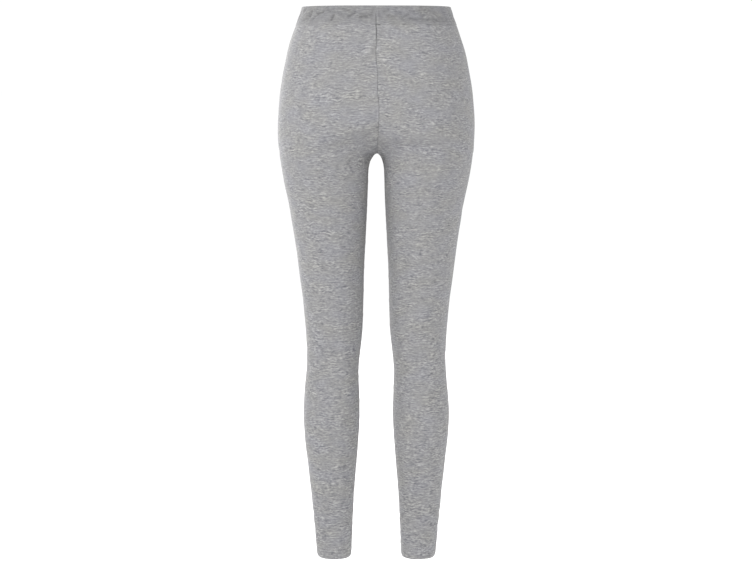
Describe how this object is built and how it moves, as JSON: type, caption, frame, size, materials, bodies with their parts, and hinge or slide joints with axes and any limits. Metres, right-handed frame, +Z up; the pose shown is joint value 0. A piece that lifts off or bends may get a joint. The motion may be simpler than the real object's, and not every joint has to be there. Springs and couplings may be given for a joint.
{
  "type": "leggings",
  "caption": "Ankle-length leggings in stretch jersey with an elastic waistband, worn and hollow, to dress the waist, hips and legs of a figure.",
  "frame": {"origin": "middle of the waist opening, level with the top edge of the waistband at the sides, where the wearer holds the garment up", "axes": "+Z up along the body, +Y towards the wearer's front, +X towards the wearer's right leg"},
  "size_m": [0.3356, 0.2265, 0.9519],
  "materials": {
    "jersey": "grey melange single jersey, matt",
    "waistband": "grey melange jersey casing, softly gathered over elastic"
  },
  "bodies": {
    "root": {"leg_left": "jersey", "leg_right": "jersey", "waistband_left": "waistband", "waistband_right": "waistband"}
  },
  "joints": []
}
